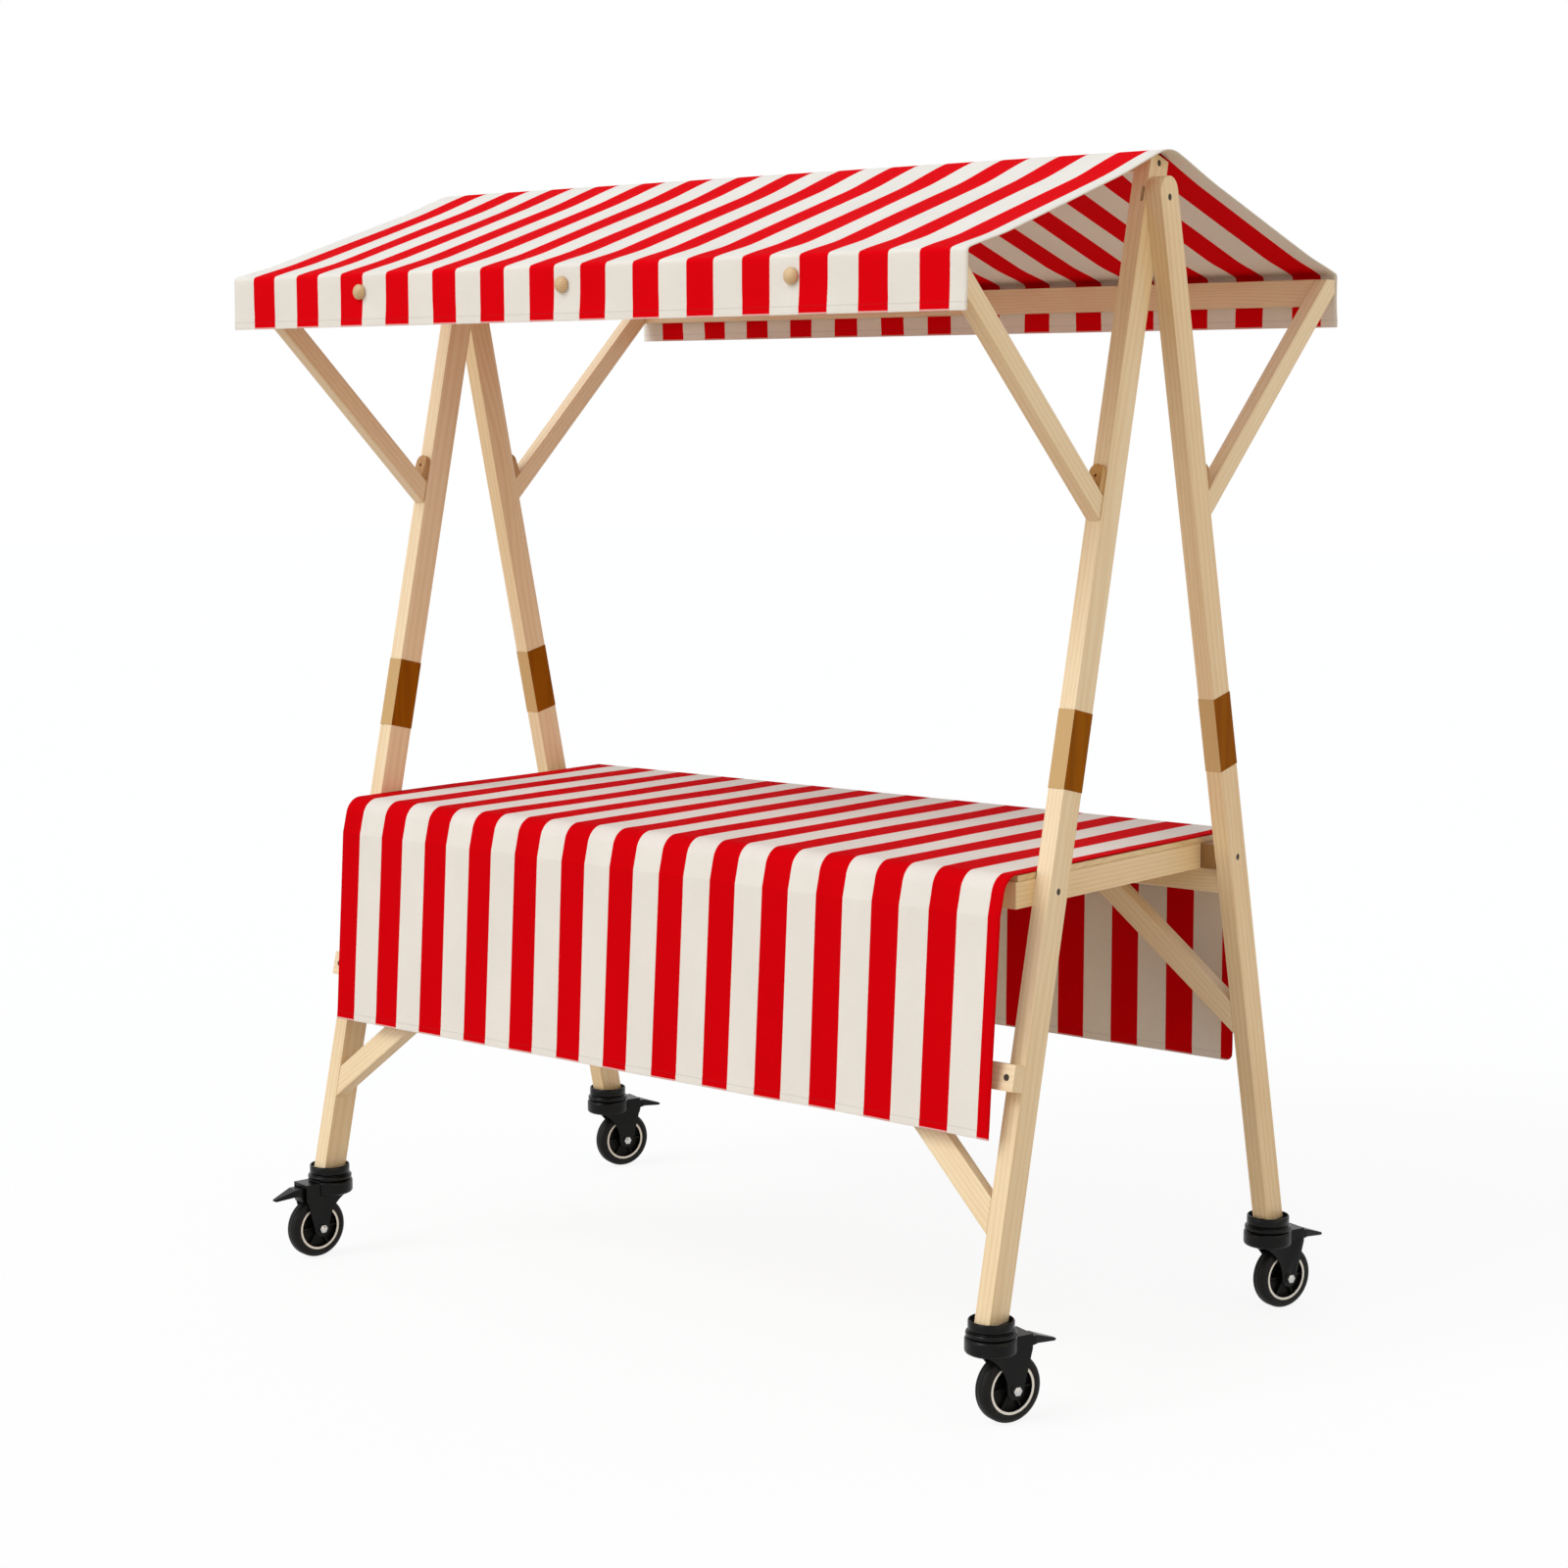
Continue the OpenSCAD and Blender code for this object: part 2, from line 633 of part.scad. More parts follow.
module castor_tyre(c) {
    r = wheel_d / 2;
    half = wheel_w / 2;
    color([0.12, 0.12, 0.12]) at_castor(c) across(trail, axle_z) rotate_extrude() difference() {
        union() {
            translate([hub_r, -half]) square([r - shoulder_r - hub_r, wheel_w]);
            translate([hub_r, shoulder_r - half]) square([r - hub_r, wheel_w - 2 * shoulder_r]);
            for (sy = SIDES) translate([r - shoulder_r, sy * (half - shoulder_r)]) circle(shoulder_r);
        }
        translate([0, -wheel_w]) square([hub_r, 2 * wheel_w]);
        for (sy = SIDES) translate([r, sy * (half - shoulder_r)]) circle(tread_groove_r);
    }
}

module castor_hub(c) {
    half = wheel_w / 2;
    bore = axle_d / 2 + run_gap;
    rib_low = half * 0.2;
    rib_high = half * 0.7;
    color([0.07, 0.07, 0.07]) at_castor(c) across(trail, axle_z) union() {
        rotate_extrude() {
            translate([hub_rim_in, edge_cut - half]) square([hub_r - face_gap - hub_rim_in, wheel_w - 2 * edge_cut]);
            translate([bore, -half * 0.3]) square([hub_rim_in + 1 - bore, half * 0.6]);
            translate([bore, -hub_half]) square([hub_boss_r - bore, 2 * hub_half]);
        }
        for (i = [1:hub_ribs], sy = SIDES) rotate([0, 0, i * 360 / hub_ribs])
            translate([hub_boss_r - 1, -rib_t / 2, sy > 0 ? rib_low : -rib_high])
                cube([hub_rim_in + 2 - hub_boss_r, rib_t, rib_high - rib_low]);
    }
}

// White rings let into both sides of the rim
module castor_ring(c) {
    face = wheel_w / 2 - edge_cut;
    color("white") at_castor(c) across(trail, axle_z) rotate_extrude() for (sy = SIDES)
        translate([hub_rim_in, sy > 0 ? face : -face - ring_t]) square([hub_r - face_gap - hub_rim_in, ring_t]);
}

// Foot pedal: root between the cheeks, a toe that narrows to a tip, and a shoe above the tread
module castor_pedal(c) {
    p = pedal_pin;
    tip = [pedal_reach, p[1] - 12];
    color([0.08, 0.08, 0.08]) at_castor(c) {
        intersection() {
            translate([0, pedal_w, 0]) rotate([90, 0, 0]) linear_extrude(2 * pedal_w) union() {
                translate(p) circle(pedal_pin_d);
                polygon([[p[0] - 2, p[1] + pedal_pin_d], [p[0] + 26, p[1] + 6], tip + [-2, 3], tip, tip + [-4, -2],
                    [p[0] + 26, p[1] - 9], [p[0] + 15, p[1] - 11], [p[0] + 12, p[1] - shoe_drop],
                    [p[0] + 6, p[1] - shoe_drop], [p[0] - 1, p[1] - pedal_pin_d]]);
            }
            linear_extrude(2 * crown_top)
                polygon([[p[0] - 12, -pedal_w / 2], [p[0] + 22, -pedal_w / 2], [tip[0], -4], [tip[0], 4],
                    [p[0] + 22, pedal_w / 2], [p[0] - 12, pedal_w / 2]]);
        }
        across(p[0], p[1]) cylinder(d = pedal_pin_d, h = 2 * cheek_out, center = true);
    }
}

leg(-1, false);  // front_left_leg
leg(1, false);  // front_right_leg
leg(-1, true);  // back_left_leg
leg(1, true);  // back_right_leg
leg_bands();
ridge_pole();
eave_rail(false);  // front_eave_rail
eave_rail(true);  // back_eave_rail
eave_brace(-1, false);  // front_left_eave_brace
eave_brace(1, false);  // front_right_eave_brace
eave_brace(-1, true);  // back_left_eave_brace
eave_brace(1, true);  // back_right_eave_brace
brace_wedges();
canopy();
canopy_pegs();
end_rail(-1);  // left_end_rail
end_rail(1);  // right_end_rail
rail_spacers();
front_table_rail();
back_table_rail();
back_knee_braces();
lower_front_rail();
front_knee_braces();
table_board();
table_cloth();
frame_bolts();
castor_cups();
for (c = CASTORS) {
    castor_fork(c);
    castor_axle(c);
    castor_tyre(c);
    castor_hub(c);
    castor_ring(c);
    castor_pedal(c);
}
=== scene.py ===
# %% [markdown]
# # A wooden market stall, dressed in Blender
# The timber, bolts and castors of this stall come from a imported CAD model, already in metres and already in place.
# This lesson adds what CAD is poor at: timber grain, striped canvas that hangs and folds, worn enamel and soft light.
# Every new piece is built in the same frame as the model, so nothing has to be fitted by eye.

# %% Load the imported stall
import json
import math

import bpy
import numpy as np
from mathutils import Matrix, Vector


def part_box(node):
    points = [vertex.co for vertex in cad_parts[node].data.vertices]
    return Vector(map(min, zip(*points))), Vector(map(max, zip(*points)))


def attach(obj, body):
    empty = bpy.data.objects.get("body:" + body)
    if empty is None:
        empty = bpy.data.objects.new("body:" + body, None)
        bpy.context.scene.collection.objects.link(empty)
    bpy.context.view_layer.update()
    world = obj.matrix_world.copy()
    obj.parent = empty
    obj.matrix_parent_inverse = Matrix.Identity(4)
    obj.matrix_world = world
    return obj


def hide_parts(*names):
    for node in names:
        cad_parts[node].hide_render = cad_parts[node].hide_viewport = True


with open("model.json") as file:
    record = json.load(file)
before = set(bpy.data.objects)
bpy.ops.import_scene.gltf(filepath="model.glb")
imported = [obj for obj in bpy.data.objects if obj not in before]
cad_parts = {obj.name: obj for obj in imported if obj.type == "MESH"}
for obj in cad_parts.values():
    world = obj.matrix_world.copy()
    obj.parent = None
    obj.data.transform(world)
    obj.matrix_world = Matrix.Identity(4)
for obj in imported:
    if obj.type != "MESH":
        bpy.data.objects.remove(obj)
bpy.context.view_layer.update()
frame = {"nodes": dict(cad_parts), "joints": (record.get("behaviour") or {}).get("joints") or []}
nodes = frame["nodes"]
scene = bpy.context.scene
scene.view_settings.view_transform = "Standard"

# %% [markdown]
# ## The camera
# A photograph fixes where its camera stood: the leaning legs and the long rails converge the way they do from only
# one place. The place, direction and lens below come from matching the legs, rails and eaves to that view. A longer
# lens further away would flatten the stall, so the numbers are kept instead of a rounder guess.

# %% Camera
SENSOR = 36.0
PHOTO_PIXELS = 1600
FOCAL_PIXELS = 3005.4
CAMERA_AT = (3.680, -4.493, 1.740)
CAMERA_TOWARDS = (-0.62690, 0.76906, -0.12464)
CAMERA_REACH = 200

camera = bpy.data.objects.new("photo_camera", bpy.data.cameras.new("photo_camera"))
scene.collection.objects.link(camera)
camera.location = CAMERA_AT
camera.rotation_euler = Vector(CAMERA_TOWARDS).to_track_quat("-Z", "Y").to_euler()
camera.data.sensor_width = SENSOR
camera.data.lens = FOCAL_PIXELS / PHOTO_PIXELS * SENSOR
camera.data.clip_end = CAMERA_REACH
scene.camera = camera
print("lens", round(camera.data.lens, 2), "mm")

# %% [markdown]
# ## Small helpers for node trees
# Materials here are written as node graphs. Adding a node, setting its options and wiring its inputs are the same
# three moves each time, so one helper does all three, and another makes a reusable group with named sockets.


# %% Node helpers
MIX_COLOUR_A, MIX_COLOUR_B, MIX_COLOUR_OUT = 6, 7, 2


def put(tree, kind, values=None, **settings):
    """Add a node. values maps an input's name or place to a number, a colour or the socket that feeds it."""
    made = tree.nodes.new(kind)
    for name, value in settings.items():
        setattr(made, name, value)
    for key, value in (values or {}).items():
        if isinstance(value, bpy.types.NodeSocket):
            tree.links.new(value, made.inputs[key])
        else:
            made.inputs[key].default_value = value
    return made


def calc(tree, operation, a, b=0.0):
    return put(tree, "ShaderNodeMath", {0: a, 1: b}, operation=operation).outputs[0]


def vector(tree, operation, a, b):
    made = put(tree, "ShaderNodeVectorMath", {0: a, 1: b}, operation=operation)
    return made.outputs["Value" if operation == "DOT_PRODUCT" else "Vector"]


def blend(tree, share, a, b):
    """Colour mix from a to b."""
    values = {"Factor": share, MIX_COLOUR_A: a, MIX_COLOUR_B: b}
    return put(tree, "ShaderNodeMix", values, data_type="RGBA").outputs[MIX_COLOUR_OUT]


def total(tree, *parts):
    """The sum of values, each times its weight."""
    terms = [calc(tree, "MULTIPLY", value, weight) for value, weight in parts]
    so_far = terms[0]
    for term in terms[1:]:
        so_far = calc(tree, "ADD", so_far, term)
    return so_far


def noise(tree, where, scale, detail, roughness=0.5):
    values = {"Vector": where, "Scale": scale, "Detail": detail, "Roughness": roughness}
    return put(tree, "ShaderNodeTexNoise", values).outputs["Fac"]


def ramp(tree, value, low, high):
    """Turn value into 0 at low and 1 at high, smoothly."""
    values = {"Value": value, "From Min": low, "From Max": high}
    return put(tree, "ShaderNodeMapRange", values, interpolation_type="SMOOTHSTEP").outputs["Result"]


def group(name, inputs, outputs):
    """Start a node group and return its tree, the sockets that come in and the sockets that go out."""
    tree = bpy.data.node_groups.new(name, "ShaderNodeTree")
    for label, default in inputs.items():
        kind = {float: "NodeSocketFloat", tuple: "NodeSocketColor"}.get(type(default), "NodeSocketVector")
        socket = tree.interface.new_socket(label, in_out="INPUT", socket_type=kind)
        if default is not None:
            socket.default_value = default
    for label in outputs:
        kind = "NodeSocketColor" if label == "Color" else "NodeSocketFloat"
        tree.interface.new_socket(label, in_out="OUTPUT", socket_type=kind)
    return tree, tree.nodes.new("NodeGroupInput").outputs, tree.nodes.new("NodeGroupOutput").inputs


def colour(r, g, b):
    """A colour given as the 0 to 255 numbers of a colour picker, in Blender's linear light."""
    return tuple(((c / 255 + 0.055) / 1.055) ** 2.4 if c > 10 else c / 255 / 12.92 for c in (r, g, b)) + (1.0,)


def material(name):
    """A new material with its tree and Principled BSDF."""
    made = bpy.data.materials.new(name)
    made.use_nodes = True
    return made, made.node_tree, made.node_tree.nodes["Principled BSDF"]


def cover(tree, shader, pattern, values, depth, strength):
    """Feed a shader from a group that gives a colour, a roughness and a height. depth is that height in metres."""
    made = put(tree, "ShaderNodeGroup", values, node_tree=pattern).outputs
    tree.links.new(made["Color"], shader.inputs["Base Color"])
    tree.links.new(made["Roughness"], shader.inputs["Roughness"])
    relief = put(tree, "ShaderNodeBump", {"Height": made["Height"], "Distance": depth, "Strength": strength})
    tree.links.new(relief.outputs["Normal"], shader.inputs["Normal"])


# %% [markdown]
# ## Floor, backdrop and light
# The stall stands on plain white. A white floor lit hard would throw too much light back up under the canopy, so the
# floor is a warm mid tone for the light that bounces and nearly white for the camera, and still takes a soft shadow.
# A cool sun from high in front lights the slopes and the table top, a low warm one reaches the fronts of the legs
# under the canopy, and an amber one fills the right-hand sides.

# %% Floor, world and lamps
FLOOR_HALF, FLOOR_DROP = 30.0, 0.0005
FLOOR_BOUNCE, FLOOR_GLOW = (0.60, 0.515, 0.41, 1), 0.88
SKY_TINT, SKY_LEVEL = (0.90, 0.955, 1.0, 1), 0.65
WHITE = (1, 1, 1, 1)


def seen_directly(tree):
    """1 for the camera and for what mirrors and glass show, 0 for light that bounces."""
    path = tree.nodes.new("ShaderNodeLightPath").outputs
    some = calc(tree, "MAXIMUM", path["Is Camera Ray"], path["Is Glossy Ray"])
    return calc(tree, "MAXIMUM", some, path["Is Transmission Ray"])


floor_mesh = bpy.data.meshes.new("floor")
corners = [(-1, -1), (1, -1), (1, 1), (-1, 1)]
floor_mesh.from_pydata([(x * FLOOR_HALF, y * FLOOR_HALF, -FLOOR_DROP) for x, y in corners], [], [(0, 1, 2, 3)])
floor = bpy.data.objects.new("floor", floor_mesh)
scene.collection.objects.link(floor)
floor_finish, tree, shader = material("pale_floor")
direct = seen_directly(tree)
tree.links.new(blend(tree, direct, FLOOR_BOUNCE, WHITE), shader.inputs["Base Color"])
shader.inputs["Roughness"].default_value = 0.9
shader.inputs["Specular IOR Level"].default_value = 0.0
white = put(tree, "ShaderNodeEmission", {"Color": WHITE, "Strength": 1.0})
share = calc(tree, "MULTIPLY", direct, FLOOR_GLOW)
mixed = put(tree, "ShaderNodeMixShader", {0: share, 1: shader.outputs[0], 2: white.outputs[0]})
tree.links.new(mixed.outputs[0], tree.nodes["Material Output"].inputs["Surface"])
floor_mesh.materials.append(floor_finish)

world = bpy.data.worlds.new("studio")
scene.world = world
world.use_nodes = True
tree = world.node_tree
soft = tree.nodes["Background"]
soft.inputs["Color"].default_value = SKY_TINT
soft.inputs["Strength"].default_value = SKY_LEVEL
plain = put(tree, "ShaderNodeBackground", {"Color": WHITE, "Strength": 1.0})
mixed = put(tree, "ShaderNodeMixShader", {0: seen_directly(tree), 1: soft.outputs[0], 2: plain.outputs[0]})
tree.links.new(mixed.outputs[0], tree.nodes["World Output"].inputs["Surface"])


def sun(name, towards, energy, tint, spread):
    """A sun lamp that shines from the direction given, with a soft edge of that many degrees."""
    lamp = bpy.data.lights.new(name, "SUN")
    lamp.energy, lamp.color, lamp.angle = energy, tint, math.radians(spread)
    made = bpy.data.objects.new(name, lamp)
    made.rotation_euler = Vector(towards).to_track_quat("Z", "Y").to_euler()
    scene.collection.objects.link(made)


sun("high_sun", (-0.25, -0.63, 0.73), 1.20, (0.94, 0.985, 1.0), 26)
sun("front_sun", (-0.40, -0.85, 0.25), 0.56, (1.0, 0.935, 0.86), 44)
sun("side_fill", (0.96, -0.10, 0.22), 0.55, (1.0, 0.70, 0.28), 50)

# %% [markdown]
# ## Timber
# The frame is planed softwood under a clear satin lacquer: pale, with straight fine grain along each piece and growth
# rings that show as arcs where a piece is cut across. A flat picture of wood can't do both, so the grain is a solid
# pattern: rings round a far-off pith, drawn out along the piece. Each piece only has to say which way its grain runs.

# %% Grain group
PITH_ACROSS, PITH_DOWN, PITH_WANDER = 0.047, 0.021, 0.055
grain, take, give = group(
    "planed_timber",
    {"Along": None, "Light": (0.8, 0.66, 0.43, 1.0), "Dark": (0.6, 0.42, 0.2, 1.0), "Ring Gap": 0.007, "Seed": 0.0},
    ["Color", "Roughness", "Height"],
)
shifted = vector(grain, "ADD", take["Along"], put(grain, "ShaderNodeCombineXYZ", {0: take["Seed"]}).outputs[0])
warp = noise(grain, vector(grain, "MULTIPLY", shifted, (0.9, 7.0, 7.0)), 1.0, 2.0)
blotch = noise(grain, vector(grain, "MULTIPLY", shifted, (1.6, 11.0, 11.0)), 1.0, 3.0)
fibre = noise(grain, vector(grain, "MULTIPLY", shifted, (14.0, 620.0, 620.0)), 1.0, 3.0, 0.6)
pores = noise(grain, vector(grain, "MULTIPLY", shifted, (55.0, 1500.0, 1500.0)), 1.0, 1.0)
axes = put(grain, "ShaderNodeSeparateXYZ", {0: take["Along"]}).outputs
pith = calc(grain, "MULTIPLY", calc(grain, "SUBTRACT", warp, 0.5), PITH_WANDER)
across = calc(grain, "ADD", calc(grain, "ADD", axes["Y"], PITH_ACROSS), pith)
down = calc(grain, "ADD", calc(grain, "ADD", axes["Z"], PITH_DOWN), pith)
squares = calc(grain, "ADD", calc(grain, "MULTIPLY", across, across), calc(grain, "MULTIPLY", down, down))
radius = calc(grain, "SQRT", squares)
turns = calc(grain, "MULTIPLY", calc(grain, "DIVIDE", radius, take["Ring Gap"]), 2 * math.pi)
ring = ramp(grain, calc(grain, "SINE", turns), -0.6, 1.0)
streaks, clouds = ramp(grain, fibre, 0.3, 0.75), ramp(grain, blotch, 0.30, 0.80)
dots = ramp(grain, pores, 0.62, 0.78)
shade = total(grain, (ring, 0.28), (streaks, 0.26), (clouds, 0.46), (dots, 0.25))
grain.links.new(blend(grain, shade, take["Light"], take["Dark"]), give["Color"])
grain.links.new(calc(grain, "ADD", calc(grain, "MULTIPLY", fibre, 0.22), 0.30), give["Roughness"])
grain.links.new(total(grain, (ring, 0.4), (fibre, 0.6)), give["Height"])
print("grain group", len(grain.nodes), "nodes")

# %% [markdown]
# A leg leans, a brace slants and a rail lies flat, so one grain direction can't serve all. Each finish measures the
# surface point along its own piece with three dot products. Pairs that mirror each other share one finish: taking the
# distance from the middle without its sign folds both sides onto one.


# %% Timber finishes
GRAIN_DEPTH, GRAIN_STRENGTH = 0.0006, 0.6
LACQUER, LACQUER_ROUGHNESS = 0.18, 0.28


def timber(name, run, light, dark, ring_gap, seed, fold=""):
    """Lacquered wood with its grain along run. fold names the axes on which mirrored pieces share the pattern."""
    made, tree, shader = material(name)
    run = Vector(run).normalized()
    side = run.cross(Vector((0, 0, 1)) if abs(run.z) < 0.9 else Vector((1, 0, 0))).normalized()
    point = put(tree, "ShaderNodeTexCoord").outputs["Object"]
    if fold:
        parts = put(tree, "ShaderNodeSeparateXYZ", {0: point}).outputs
        folded = {i: calc(tree, "ABSOLUTE", parts[i]) if "XYZ"[i] in fold else parts[i] for i in range(3)}
        point = put(tree, "ShaderNodeCombineXYZ", folded).outputs[0]
    measured = {i: vector(tree, "DOT_PRODUCT", point, axis) for i, axis in enumerate((run, side, run.cross(side)))}
    along = put(tree, "ShaderNodeCombineXYZ", measured).outputs[0]
    values = {"Along": along, "Light": light, "Dark": dark, "Ring Gap": ring_gap, "Seed": seed}
    cover(tree, shader, grain, values, GRAIN_DEPTH, GRAIN_STRENGTH)
    shader.inputs["Coat Weight"].default_value = LACQUER
    shader.inputs["Coat Roughness"].default_value = LACQUER_ROUGHNESS
    return made


PALE, STREAK = colour(243, 222, 188), colour(224, 192, 142)
HONEY, HONEY_STREAK = colour(240, 215, 176), colour(218, 183, 130)
GOLD, GOLD_DARK = colour(206, 160, 88), colour(150, 96, 38)
# The spacers get much darker wood than the rest: painted shade for the shadow they sit in, between end rail and back
# leg.
SPACER_IN_SHADE, SPACER_IN_SHADE_DARK = colour(150, 108, 58), colour(100, 66, 30)
PEG, PEG_DARK = colour(226, 198, 154), colour(186, 142, 92)
BOARD, BOARD_DARK = colour(232, 206, 160), colour(206, 170, 118)
LEAN = math.tan(math.radians(12.95))
BACK_KNEE, FRONT_KNEE = math.tan(math.radians(44)), math.tan(math.radians(41))
EAVE_BRACE = math.tan(math.radians(43))
woods = {
    "front_leg_wood": timber("front_leg_wood", (0, LEAN, 1), PALE, STREAK, 0.009, 1.0),
    "back_leg_wood": timber("back_leg_wood", (0, -LEAN, 1), HONEY, HONEY_STREAK, 0.008, 3.0),
    "rail_wood": timber("rail_wood", (1, 0, 0), PALE, STREAK, 0.007, 5.0),
    "end_rail_wood": timber("end_rail_wood", (0, 1, 0), HONEY, HONEY_STREAK, 0.006, 7.0),
    "eave_brace_wood": timber("eave_brace_wood", (0, 1, EAVE_BRACE), PALE, STREAK, 0.008, 9.0, "XY"),
    "back_knee_wood": timber("back_knee_wood", (-1, -LEAN * BACK_KNEE, BACK_KNEE), PALE, STREAK, 0.008, 11.0, "X"),
    "front_knee_wood": timber("front_knee_wood", (-1, LEAN * FRONT_KNEE, FRONT_KNEE), PALE, STREAK, 0.008, 13.0, "X"),
    "block_wood": timber("block_wood", (0, -LEAN, 1), GOLD, GOLD_DARK, 0.006, 15.0, "Y"),
    "shaded_spacer_wood": timber("shaded_spacer_wood", (0, 0, 1), SPACER_IN_SHADE, SPACER_IN_SHADE_DARK, 0.006, 23.0),
    "peg_wood": timber("peg_wood", (0, 1, 0), PEG, PEG_DARK, 0.004, 17.0),
    "board_wood": timber("board_wood", (1, 0, 0), BOARD, BOARD_DARK, 0.012, 19.0),
}
print("timber finishes", len(woods))

# %% [markdown]
# ## The brown bands
# Each leg carries a brown band above the table, a stained sleeve over the joint in the leg. It is wood as well, but
# stained so dark that the grain is only a hint, and it has no lacquer. The narrow front and back faces are painted
# paler than the sides: painted light for the light from the front, so the finish looks at which way faces point.

# %% Band finish
STAIN, STAIN_DARK = colour(160, 94, 4), colour(132, 72, 2)
LIT_FACE_PAINT, LIT_FACE_PAINT_SHARE = colour(222, 190, 138), 0.74
band = timber("band_stain", (0, 0, 1), STAIN, STAIN_DARK, 0.010, 21.0, "Y")
tree = band.node_tree
shader = tree.nodes["Principled BSDF"]
shader.inputs["Coat Weight"].default_value = 0.0
shader.inputs["Specular IOR Level"].default_value = 0.02
stained = shader.inputs["Base Color"].links[0].from_socket
# Painted light: faces that point to the front or back are painted paler than the sides.
facing = put(tree, "ShaderNodeSeparateXYZ", {0: put(tree, "ShaderNodeTexCoord").outputs["Normal"]}).outputs
front = ramp(tree, calc(tree, "ABSOLUTE", facing["Y"]), 0.4, 0.8)
lit_faces_painted = blend(tree, calc(tree, "MULTIPLY", front, LIT_FACE_PAINT_SHARE), stained, LIT_FACE_PAINT)
tree.links.new(lit_faces_painted, shader.inputs["Base Color"])
print("band finish", band.name)

# %% [markdown]
# ## Metal, plastic and rubber
# The castors are black all over, yet no two blacks are alike: enamelled steel has a soft shine and catches light on
# its edges, moulded plastic is duller, and rubber is dull with a little dust on it. One shared group breaks up each
# surface with cloudy dust and fine specks, and each finish decides how strongly it shows.

# %% Dust group and dark finishes
SPECK_STRENGTH = 0.5
dust, take, give = group(
    "dusty_surface",
    {"Where": None, "Base": (0.02, 0.02, 0.02, 1.0), "Dust": (0.2, 0.19, 0.17, 1.0), "Amount": 0.3, "Shine": 0.4},
    ["Color", "Roughness", "Height"],
)
cloud = ramp(dust, noise(dust, take["Where"], 26.0, 4.0, 0.6), 0.42, 0.78)
speck = ramp(dust, noise(dust, take["Where"], 900.0, 2.0), 0.55, 0.8)
film = calc(dust, "MULTIPLY", total(dust, (cloud, 0.7), (speck, 0.3)), take["Amount"])
dust.links.new(blend(dust, film, take["Base"], take["Dust"]), give["Color"])
dust.links.new(calc(dust, "ADD", take["Shine"], calc(dust, "MULTIPLY", film, 0.5)), give["Roughness"])
dust.links.new(speck, give["Height"])


def dusty(name, base, dust_tint, amount, shine, depth, metal=0.0):
    """A finish with this base colour under amount of dust. depth is the height of the specks in metres."""
    made, tree, shader = material(name)
    where = put(tree, "ShaderNodeTexCoord").outputs["Object"]
    values = {"Where": where, "Base": base, "Dust": dust_tint, "Amount": amount, "Shine": shine}
    cover(tree, shader, dust, values, depth, SPECK_STRENGTH)
    shader.inputs["Metallic"].default_value = metal
    return made


GREY_DUST = colour(92, 90, 84)
enamel = dusty("black_enamel", colour(7, 8, 8), GREY_DUST, 0.05, 0.24, 0.0001)
moulding = dusty("black_moulding", colour(12, 12, 12), GREY_DUST, 0.06, 0.38, 0.0002)
rubber = dusty("tyre_rubber", colour(14, 14, 14), colour(88, 84, 76), 0.07, 0.50, 0.0003)
for finish, gloss in ((enamel, 0.16), (moulding, 0.10), (rubber, 0.17)):
    finish.node_tree.nodes["Principled BSDF"].inputs["Specular IOR Level"].default_value = gloss
ring_white = dusty("rim_ring_white", colour(251, 251, 250), colour(190, 186, 178), 0.12, 0.40, 0.0001)
zinc = dusty("zinc_plate", colour(196, 196, 194), colour(140, 136, 128), 0.35, 0.26, 0.0001, 1.0)
dark_steel = dusty("dark_steel", colour(58, 50, 42), colour(30, 26, 22), 0.5, 0.45, 0.0001, 0.6)
print("castor and bolt finishes", [m.name for m in (enamel, moulding, rubber, ring_white, zinc, dark_steel)])

# %% [markdown]
# ## Dressing the CAD pieces
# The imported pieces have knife-sharp edges, which no planed timber or pressed steel has. A bevel modifier eases every
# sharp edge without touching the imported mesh. The import splits the mesh along its edges and cuts flat faces into
# triangles, so one modifier welds the edges and another joins the flat faces before the bevel.


# %% Finish and ease every CAD piece
WELD_WITHIN = 0.00002
FLAT_ANGLE, SHARP_ANGLE = math.radians(0.5), math.radians(35)
EASE_ROUNDS = 2
LEG_EASE, RAIL_EASE = 0.003, 0.0025
CORNERS = ("front_left", "front_right", "back_left", "back_right")


def dress(node, finish, ease=0.0):
    """Give a CAD node its finish, and round its sharp edges by ease metres."""
    obj = nodes[node]
    obj.data.materials.clear()
    obj.data.materials.append(finish)
    if ease:
        weld = obj.modifiers.new("weld", "WELD")
        weld.merge_threshold = WELD_WITHIN
        flats = obj.modifiers.new("flats", "DECIMATE")
        flats.decimate_type, flats.angle_limit = "DISSOLVE", FLAT_ANGLE
        edge = obj.modifiers.new("ease", "BEVEL")
        edge.width, edge.segments, edge.limit_method = ease, EASE_ROUNDS, "ANGLE"
        edge.angle_limit = SHARP_ANGLE
        edge.harden_normals = True


for end in ("front", "back"):
    for side in ("left", "right"):
        dress(f"{end}_{side}_leg", woods[f"{end}_leg_wood"], LEG_EASE)
        dress(f"{end}_{side}_eave_brace", woods["eave_brace_wood"], RAIL_EASE)
for node in ("front_eave_rail", "back_eave_rail", "front_table_rail", "back_table_rail", "lower_front_rail",
             "ridge_pole"):
    dress(node, woods["rail_wood"], RAIL_EASE)
for node in ("left_end_rail", "right_end_rail"):
    dress(node, woods["end_rail_wood"], RAIL_EASE)
dress("back_knee_braces", woods["back_knee_wood"], RAIL_EASE)
dress("front_knee_braces", woods["front_knee_wood"], RAIL_EASE)
dress("brace_wedges", woods["block_wood"], 0.0015)
